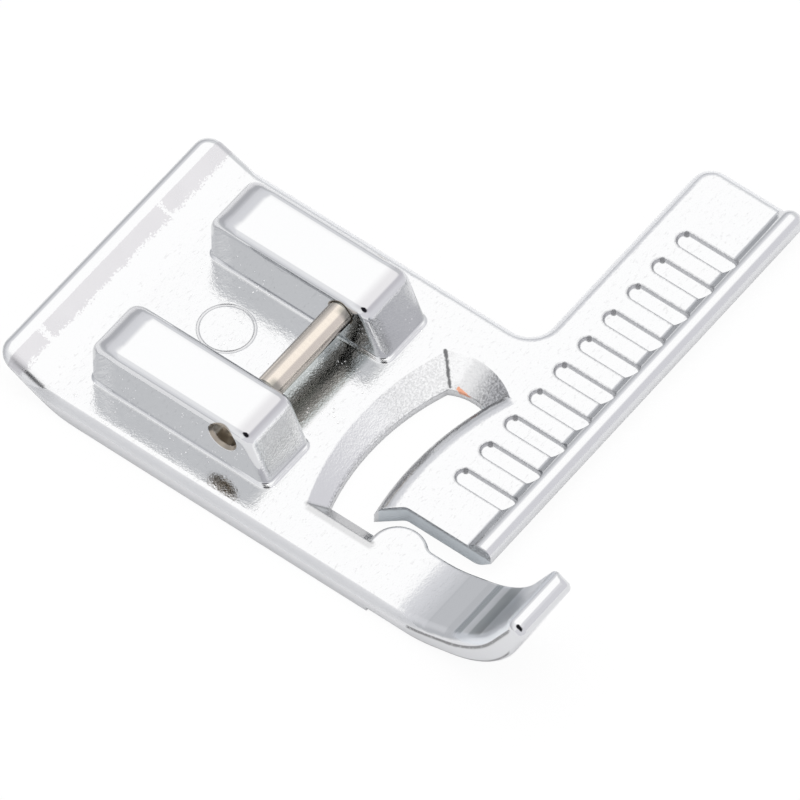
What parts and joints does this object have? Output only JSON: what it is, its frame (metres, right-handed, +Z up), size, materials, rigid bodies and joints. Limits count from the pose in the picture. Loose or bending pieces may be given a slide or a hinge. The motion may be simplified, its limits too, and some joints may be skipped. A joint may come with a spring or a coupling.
{
  "type": "sewing machine presser foot",
  "caption": "Clip-on metal presser foot with a curved needle slot, a curled toe and a grooved ruler arm that gauges stitch distance from the needle.",
  "frame": {"origin": "the point of the sole that lies on the needle's line, in the middle of the needle slot", "axes": "+X along the ruler, away from the toe; +Y towards the curled heel at the back; +Z up from the sole"},
  "size_m": [0.0497, 0.0515, 0.01],
  "materials": {
    "chrome_plating": "polished chrome plating over a die casting",
    "pin_steel": "ground steel with a faint brown tint"
  },
  "bodies": {
    "root": {"foot_casting": "chrome_plating", "cross_pin": "pin_steel"}
  },
  "joints": []
}
